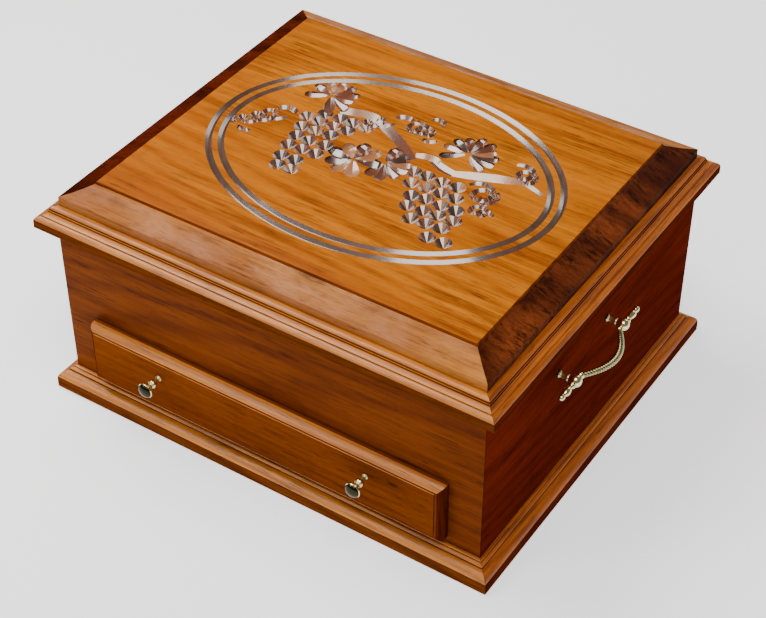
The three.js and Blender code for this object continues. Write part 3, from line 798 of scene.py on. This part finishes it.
# %% Drawn strokes
def stroke(points, width, depth, tips, tone=1):
    """A pointed gouge drawn along a smooth line: a four-sided tube round it, narrow at its tips."""
    line = bpy.data.curves.new("stroke", "CURVE")
    line.dimensions = "3D"
    line.bevel_depth = width / 2 * MM
    line.bevel_resolution = 0
    line.use_fill_caps = True
    line.resolution_u = 5
    spline = line.splines.new("NURBS")
    spline.points.add(len(points) - 1)
    for place, (x, y) in zip(spline.points, points):
        place.co = (x * MM, y * MM, 0, 1)
    spline.points[0].radius = tips
    spline.points[-1].radius = tips
    spline.order_u = min(4, len(points))
    spline.use_endpoint_u = True
    holder = bpy.data.objects.new("stroke", line)
    scene.collection.objects.link(holder)
    bpy.context.view_layer.update()
    mesh = bpy.data.meshes.new_from_object(holder.evaluated_get(bpy.context.evaluated_depsgraph_get()))
    shape = bmesh.new()
    shape.from_mesh(mesh)
    bpy.data.objects.remove(holder)
    bpy.data.meshes.remove(mesh)
    bmesh.ops.remove_doubles(shape, verts=shape.verts, dist=1e-6)
    bmesh.ops.scale(shape, vec=(1, 1, depth / (width / 2)), verts=shape.verts)
    bmesh.ops.recalc_face_normals(shape, faces=shape.faces)
    for face in shape.faces:
        face.material_index = tone
    return moved(shape, Matrix.Translation((0, 0, field_z)))


# %% The oval border
def oval_groove(radius_x, radius_y, width, depth):
    """A V groove around an oval: a small diamond spun about Z, then widened."""
    ring = bmesh.new()
    bmesh.ops.create_circle(ring, segments=4, radius=width / 2 * MM)
    bmesh.ops.scale(ring, vec=(1, depth / (width / 2), 1), verts=ring.verts)
    upright = Matrix.Translation((radius_y * MM, 0, field_z)) @ Matrix.Rotation(math.radians(90), 4, "X")
    moved(ring, upright)
    bmesh.ops.spin(
        ring, geom=everything(ring), cent=(0, 0, 0), axis=(0, 0, 1), angle=2 * math.pi,
        steps=128, use_merge=True)
    bmesh.ops.remove_doubles(ring, verts=ring.verts, dist=1e-6)
    for point in ring.verts:
        point.co.x += (radius_x - radius_y) * MM * math.cos(math.atan2(point.co.y, point.co.x))
    bmesh.ops.recalc_face_normals(ring, faces=ring.faces)
    for face in ring.faces:
        face.material_index = len(cut_tones)
    return ring


# %% [markdown]
# ## Laying out the grapevine
#
# The carver pencils the layout first: a vine from the left leaf to the right edge, a bunch under each
# half of it, four leaves, and tendrils that curl off at the ends. Bunches are rows of grapes that get
# shorter towards the tip, and leaves are fans of petals.

# %% Bunches and leaves
WANDER = 0.8


def bunch(rows, step, radius):
    """Rows of grapes: each row is its first grape's place and its number of grapes."""
    grapes = []
    for x, y, count in rows:
        for i in range(count):
            shift_x, shift_y = carver.uniform(-WANDER, WANDER), carver.uniform(-WANDER, WANDER)
            grapes.append(grape(x + i * step[0] + shift_x, y + i * step[1] + shift_y, radius))
    return grapes


def leaf(x, y, reach, width, angles):
    """A fan of petals, no two quite as long as each other."""
    return [petal(x, y, angle, reach * carver.uniform(0.9, 1.05), width) for angle in angles]


# %% Tendrils
TENDRIL_DEPTH = 2.3
TENDRIL_TIPS = 0.6


def curl(x, y, radius, start, sweep, width=5.0):
    """A tendril: a stroke around part of a circle that closes in on itself."""
    points = []
    for i in range(8):
        turn = math.radians(start + sweep * i / 7)
        shrunk = radius * (1 - 0.07 * i)
        points.append((x + shrunk * math.cos(turn), y + shrunk * math.sin(turn)))
    return toned(stroke(points, width, TENDRIL_DEPTH, TENDRIL_TIPS))


def coil(start, end, radius, loops, lag=0.0, width=4.6):
    """A tendril that winds round and round from start to end, in ever smaller loops."""
    points = []
    count = 10 * loops
    for i in range(count + 1):
        share = i / count
        turn = math.radians(lag) - 2 * math.pi * loops * share
        shrunk = radius * (1 - 0.45 * share)
        middle = [a + (b - a) * share for a, b in zip(start, end)]
        points.append((middle[0] + shrunk * math.cos(turn), middle[1] + shrunk * math.sin(turn)))
    return toned(stroke(points, width, TENDRIL_DEPTH, TENDRIL_TIPS))


# %% The layout
GRAPE = 7.0
left_rows = (
    (-77, 31, 4), (-88, 19, 4), (-83, 6, 3), (-79, -8, 3), (-78, -22, 3), (-74, -36, 2), (-69, -48, 2))
right_rows = ((27, 2, 4), (34, -11, 4), (42, -24, 4), (47, -37, 4), (58, -49, 3), (81, -62, 2))
left_bunch = bunch(left_rows, (13.4, 0.4), GRAPE)
right_bunch = bunch(right_rows, (13.4, 0.6), GRAPE)
leaves = [
    *leaf(-88, 55, 24, 11, (-62, -25, 5, 32, 62, 92, 125, 160, 205)),
    *leaf(-22, -10, 25, 14, (15, 55, 95, 135, 175, 215, 255, 300)),
    *leaf(-22, -10, 14, 9, (35, 75, 115, 155, 195, 235)),
    *leaf(2, 0, 24, 12, (-100, -70, -35, -5, 25, 60, 95)),
    *leaf(52, 46, 26, 10, (-35, -8, 16, 40, 64, 90, 118, 146, 176, 215)),
]
vine = [
    stroke([(-70, 41), (-60, 45), (-48, 49), (-38, 49)], 12, 4.4, 0.6, 2),
    stroke([(-44, 48), (-20, 41), (-4, 31), (18, 16)], 11, 4.0, 0.6, 1),
    stroke([(17, 22), (28, 28), (38, 24)], 10, 3.6, 0.6, 2),
    stroke([(32, 24), (44, 17), (60, 17)], 11, 2.4, 0.6, 1),
    stroke([(54, 17), (74, 25), (92, 33), (108, 37)], 12, 4.4, 0.6, 2),
    stroke([(104, 38), (116, 36), (128, 31)], 7, 2.6, 0.35, 0),
]
tendrils = [
    curl(-108, 12, 12, 30, 130, 6.0),
    coil((-110, 10), (-132, -16), 8.5, 3),
    curl(-141, -18, 7, -40, 130),
    curl(-120, -19, 8, 200, 120),
    coil((-28, 50), (-42, 36), 7, 2),
    curl(-19, 54, 11, 40, 110, 6.0),
    coil((-8, 56), (13, 54), 8, 3, 90),
    curl(9, 68, 8, 150, -150),
    curl(13, 48, 7, 0, -140),
    coil((99, 51), (113, 42), 8.5, 2, 150, 5.2),
    coil((84, 10), (96, 2), 11, 2, 170, 5.2),
    curl(90, 3, 14, 60, -110, 6.0),
    coil((92, -12), (106, -14), 6, 2),
]
GROOVE_WIDTH, GROOVE_DEPTH = 5.6, 2.0
border = [
    oval_groove(radius_x, radius_y, GROOVE_WIDTH, GROOVE_DEPTH)
    for radius_x, radius_y in ((152.7, 114.3), (142.5, 104.0))
]
cutters = [*left_bunch, *right_bunch, *leaves, *vine, *tendrils, *border]
print("cutters:", len(cutters))

# %% [markdown]
# ## Cutting the carving
#
# One Boolean modifier takes all the cutters away from the blank. Many of them overlap, so the exact
# solver is told to expect that. The cut faces take the cutters' finish, which is how the carving gets
# its own varnish. The result is then kept as a plain mesh.

# %% Cut the panel
def cut_away(piece, tool_shape, finishes):
    """Subtracts the tool from the piece and keeps the result as its mesh."""
    tool_mesh = bpy.data.meshes.new("tool")
    tool_shape.to_mesh(tool_mesh)
    tool_shape.free()
    for finish in finishes:
        tool_mesh.materials.append(finish)
    tool = bpy.data.objects.new("tool", tool_mesh)
    scene.collection.objects.link(tool)
    cut = piece.modifiers.new("cut", "BOOLEAN")
    cut.operation = "DIFFERENCE"
    cut.solver = "EXACT"
    cut.use_self = True
    cut.material_mode = "TRANSFER"
    cut.object = tool
    bpy.context.view_layer.update()
    result = bpy.data.meshes.new_from_object(piece.evaluated_get(bpy.context.evaluated_depsgraph_get()))
    piece.modifiers.clear()
    piece.data = result
    bpy.data.objects.remove(tool)
    bpy.data.meshes.remove(tool_mesh)


panel_woods = (field_wood, bevel_wood, bevel_end, front_wood, bevel_left_painted_shade)
panel = finished(blank, "carved_lid_panel", panel_woods, "lid", ["lid_panel"])
cut_away(panel, gathered(cutters), [*cut_tones, cut_groove])
crisp(panel, 19)
print("carved panel:", len(panel.data.polygons), "faces, finishes", [m.name for m in panel.data.materials])

# %% [markdown]
# ## Drawer front
#
# The drawer front overlaps its opening by a lip with a rounded edge. A box with a beveled rim makes
# the round, and an inset that rises by a millimetre makes the raised face, with its fine bright edge.
# The round is deeper than it is wide, so the box is squeezed before the bevel and let out after it.
# A tongue behind the lip fills the opening. End grain shows at both ends, and the top of the lip
# takes the paler, glossier rail wood as a painted highlight.

# %% Drawer front
front_low, front_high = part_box("drawer_front")
LIP = 11.0 * MM
ROUND_ACROSS = 5.2 * MM
ROUND_DEEP = 8.0 * MM
FACE_INSET = 0.9 * MM
squeeze = ROUND_ACROSS / ROUND_DEEP
lip_back = -half_depth - 0.3 * MM
lip = bmesh.new()
bmesh.ops.create_cube(lip, size=1)
bmesh.ops.scale(
    lip, vec=(front_high.x - front_low.x, LIP * squeeze, front_high.z - front_low.z), verts=lip.verts)
face = min(lip.faces, key=lambda item: item.calc_center_median().y)
bmesh.ops.bevel(
    lip, geom=face.edges[:], offset=ROUND_ACROSS, offset_type="OFFSET", segments=10, profile=0.5,
    affect="EDGES", material=-1)
bmesh.ops.scale(lip, vec=(1, 1 / squeeze, 1), verts=lip.verts)
bmesh.ops.translate(lip, vec=(0, lip_back - LIP / 2, (front_low.z + front_high.z) / 2), verts=lip.verts)
bmesh.ops.recalc_face_normals(lip, faces=lip.faces)
face = max((item for item in lip.faces if item.normal.y < -0.99), key=lambda item: item.calc_area())
bmesh.ops.inset_region(lip, faces=[face], thickness=FACE_INSET, depth=0, use_even_offset=True)
raised = bmesh.ops.extrude_face_region(lip, geom=[face])["geom"]
raised_verts = [item for item in raised if isinstance(item, bmesh.types.BMVert)]
bmesh.ops.delete(lip, geom=[face], context="FACES_ONLY")
bmesh.ops.translate(lip, vec=(0, front_low.y - lip_back + LIP, 0), verts=raised_verts)
print("drawer lip:", len(lip.faces), "faces")

# %% Drawer tongue
SEAM = 0.01 * MM
tongue_thick = front_high.y - lip_back
side_low, side_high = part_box("drawer_left_side")
tongue = bmesh.new()
bmesh.ops.create_cube(tongue, size=1)
bmesh.ops.scale(
    tongue, vec=(-2 * side_low.x, tongue_thick, side_high.z - side_low.z), verts=tongue.verts)
bmesh.ops.translate(
    tongue, vec=(0, lip_back + tongue_thick / 2 + SEAM, (side_low.z + side_high.z) / 2),
    verts=tongue.verts)
print("drawer tongue:", round(tongue_thick / MM, 1), "mm thick")

# %% The whole drawer front
drawer_shape = gathered([lip, tongue])
# The lip's top faces take the paler, glossier rail wood (index 2): a painted highlight.
for item in drawer_shape.faces:
    if abs(item.normal.x) > 0.25:
        item.material_index = 1
    elif item.normal.z > 0.2 and item.calc_center_median().y < lip_back - 2 * MM:
        item.material_index = 2
eased(drawer_shape, 0.25 * MM)
drawer_front = finished(
    drawer_shape, "drawer_front_lipped", (drawer_wood, end_grain, rail_long), "drawer",
    ["drawer_front"], crease=26)
print("drawer front:", len(drawer_front.data.polygons), "faces")

# %% [markdown]
# ## Knobs
#
# Each knob is a small turned mushroom: a foot, a bead, a slim waist that flares out, and a domed head.
# The bead and the rim are bright, the foot and the flare are satin, and the dome is near-black brass: a
# painted dark reflection.

# %% Knobs
BEAD_LOW, BEAD_HIGH = 5.2, 9.8
FLARE_TOP = 16.8
DOME_FOOT = 18.1
knob_profile = [
    (0, 0), (2.7, 0), (2.7, 0.5), (2.4, 0.9), (1.9, 1.3), (1.8, 2.4), (1.8, 4.2), (2.1, 4.9),
    (2.8, 5.6), (3.5, 6.5), (3.9, 7.6), (3.9, 8.6), (3.5, 9.6), (2.9, 10.4),
    (2.4, 11.0), (2.3, 11.8), (2.6, 12.6), (3.4, 13.7), (4.6, 14.9), (5.8, 16.0),
    (6.7, 16.7), (7.0, 17.3), (6.8, 17.8), (6.3, DOME_FOOT),
    *quarter((6.3, DOME_FOOT), (0, 21.0), steps=8),
]
for side in ("left", "right"):
    low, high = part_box(f"{side}_knob")
    middle = (low + high) / 2
    knob = turned(knob_profile)
    for item in knob.faces:
        height = item.calc_center_median().z / MM
        # Index 2, the dome, takes the near-black brass: a painted dark reflection.
        if height > DOME_FOOT:
            item.material_index = 2
        elif height < BEAD_LOW or BEAD_HIGH < height < FLARE_TOP:
            item.material_index = 1
    seat = Matrix.Translation((middle.x, high.y, middle.z)) @ Matrix.Rotation(math.radians(90), 4, "X")
    finished(
        moved(knob, seat), f"{side}_knob_turned", [brass, satin, painted_dark], "drawer",
        [f"{side}_knob"], 50)
print("knobs:", len(knob_profile), "points in the profile")

# %% [markdown]
# ## Handle posts
#
# A post has a round plate against the wood, a turned stem, and a ball that is bored through for the
# bail. Behind the plate a plain stud goes through the board to its nut. The bore is cut with the same
# Boolean helper as the carving. The two ends of the chest mirror each other: each has a turn about
# the upright axis, in degrees, and a way out along X.

# %% Handle posts
POST_REACH = 14.7
BALL = 5.3
STUD = 1.8
STUD_END = -22.0
PLATE_TOP = 1.4
STEM_TOP = 9.7
BORE = 2.1
BORE_HALF = 9
ENDS = {"right": (0, 1), "left": (180, -1)}
post_profile = [
    (0, STUD_END), (STUD, STUD_END), (STUD, 0), (3.6, 0), (3.6, 0.5), (3.3, 0.9), (2.8, PLATE_TOP),
    (2.3, 2.2), (2.1, 3.2), (2.1, 6.6), (2.4, 7.4), (2.9, 8.0), (2.9, 8.8), (2.6, 9.3), (2.6, STEM_TOP),
    *[(BALL * math.sin(step / 4), POST_REACH - BALL * math.cos(step / 4)) for step in range(3, 12)],
    (0, POST_REACH + BALL),
]
for side, (turn, way) in ENDS.items():
    for place in ("front", "back"):
        name = f"{side}_handle_{place}_post"
        low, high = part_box(name)
        middle = (low + high) / 2
        wall = (half_width + 0.1 * MM) * way
        seat = (
            Matrix.Translation((wall, middle.y, middle.z))
            @ Matrix.Rotation(math.radians(turn), 4, "Z")
            @ Matrix.Rotation(math.radians(90), 4, "Y")
        )
        post_shape = turned(post_profile, 32)
        # The plate, index 2, takes the near-black brass, painted dark like the domes.
        for item in post_shape.faces:
            height = item.calc_center_median().z / MM
            if height < STEM_TOP:
                item.material_index = 2 if height < PLATE_TOP else 1
        post = finished(
            moved(post_shape, seat), name + "_turned", [brass, satin, painted_dark], "chest", [name])
        bore = turned([(0, -BORE_HALF), (BORE, -BORE_HALF), (BORE, BORE_HALF), (0, BORE_HALF)], 24)
        ball = seat @ Matrix.Translation((0, 0, POST_REACH * MM))
        across = Matrix.Rotation(math.radians(90), 4, "X")
        cut_away(post, moved(bore, ball @ across), [brass])
        crisp(post, 45)
        print(name, "has", len(post.data.polygons), "faces")

# %% [markdown]
# ## Bails
#
# The bail is one casting: a turned finial outside each ball, a thin journal through it, a bead inside
# it, and a bowed grip that is twisted like a rope. The grip is drawn out from a four-lobed ring. Each
# step extrudes the ring, moves it along the bow and turns it a little more. The bow is half a cosine
# wave, and the grip is thickest in its middle.

# %% The bow of the grip
BOW = 13.9
SPACING = 78.0
GRIP_HALF = SPACING / 2 - BALL - 1


def grip_matrix(share, twist):
    """Where the grip's ring stands at a share of its length, from one bead to the other."""
    y = GRIP_HALF * (2 * share - 1)
    lean = math.pi / 2 * y / GRIP_HALF
    slope = math.atan2(-BOW * math.sin(lean) * math.pi / 2 / GRIP_HALF, 1)
    place = Matrix.Translation((BOW * math.cos(lean) * MM, y * MM, 0))
    face_along = Matrix.Rotation(-slope, 4, "Z") @ Matrix.Rotation(math.radians(-90), 4, "X")
    swell = 0.72 + 0.28 * math.sin(math.pi * share)
    return place @ face_along @ Matrix.Rotation(twist, 4, "Z") @ Matrix.Scale(swell, 4)


print("grip:", round(2 * GRIP_HALF, 1), "mm from bead to bead")


# %% The rope grip
GRIP_RADIUS = 2.8
STRANDS = 4
GRIP_STEPS = 150
GRIP_TURNS = 8


def rope_grip():
    """A lobed ring, drawn out along the bow and twisted as it goes."""
    grip = bmesh.new()
    ring = bmesh.ops.create_circle(grip, segments=24, radius=GRIP_RADIUS * MM, cap_ends=True)["verts"]
    for point in ring:
        angle = math.atan2(point.co.y, point.co.x)
        point.co *= 0.84 + 0.2 * abs(math.cos(STRANDS * angle / 2))
    here = grip_matrix(0, 0)
    bmesh.ops.transform(grip, matrix=here, verts=ring)
    edges = grip.edges[:]
    for step in range(1, GRIP_STEPS + 1):
        share = step / GRIP_STEPS
        there = grip_matrix(share, 2 * math.pi * GRIP_TURNS * share)
        drawn = bmesh.ops.extrude_edge_only(grip, edges=edges)["geom"]
        ring = [item for item in drawn if isinstance(item, bmesh.types.BMVert)]
        edges = [item for item in drawn if isinstance(item, bmesh.types.BMEdge)]
        bmesh.ops.transform(grip, matrix=there @ here.inverted(), verts=ring)
        here = there
    bmesh.ops.contextual_create(grip, geom=edges)
    bmesh.ops.recalc_face_normals(grip, faces=grip.faces)
    return grip


# %% Finials and the whole bail
PIVOT_OUT = 15
FINIAL = 25.0
finial_profile = [
    (0, -BALL - 4.6), (1.4, -BALL - 4.5), (2.4, -BALL - 3.9), (3.1, -BALL - 3.0), (3.3, -BALL - 2.0),
    (3.0, -BALL - 1.0), (2.6, -BALL - 0.4), (1.8, -BALL - 0.4), (1.8, BALL + 0.4),
    (2.8, BALL + 0.4), (3.2, BALL + 1.0), (2.9, BALL + 1.7), (1.9, BALL + 2.4), (1.8, BALL + 3.2),
    (2.2, BALL + 4.6), (2.9, BALL + 6.8), (3.3, BALL + 8.8), (3.2, BALL + 10.4), (2.6, BALL + 12.0),
    (1.7, BALL + 13.2), (1.6, BALL + 13.8), (2.2, BALL + 14.6), (2.6, BALL + 15.8), (2.5, BALL + 17.4),
    (1.8, BALL + 18.8), (0, FINIAL),
]
for side, (turn, way) in ENDS.items():
    name = f"{side}_handle_bail"
    low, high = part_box(name)
    finials = []
    for hand in (-1, 1):
        outwards = Matrix.Rotation(math.radians(-90 * hand), 4, "X")
        stand = Matrix.Translation((0, hand * SPACING / 2 * MM, 0)) @ outwards
        finials.append(moved(turned(finial_profile, 32), stand))
    grip = rope_grip()
    # The grip takes the darker brass, which is painted shade.
    for item in grip.faces:
        item.material_index = 1
    bail = gathered([grip, *finials])
    pivot = Vector(((half_width + PIVOT_OUT * MM) * way, (low.y + high.y) / 2, (low.z + high.z) / 2))
    seat = Matrix.Translation(pivot) @ Matrix.Rotation(math.radians(turn), 4, "Z")
    finished(moved(bail, seat), name + "_rope", [brass, grip_painted_shade], f"{side}_bail", [name], 50)
    print(name, "turns about", tuple(round(value, 4) for value in pivot))
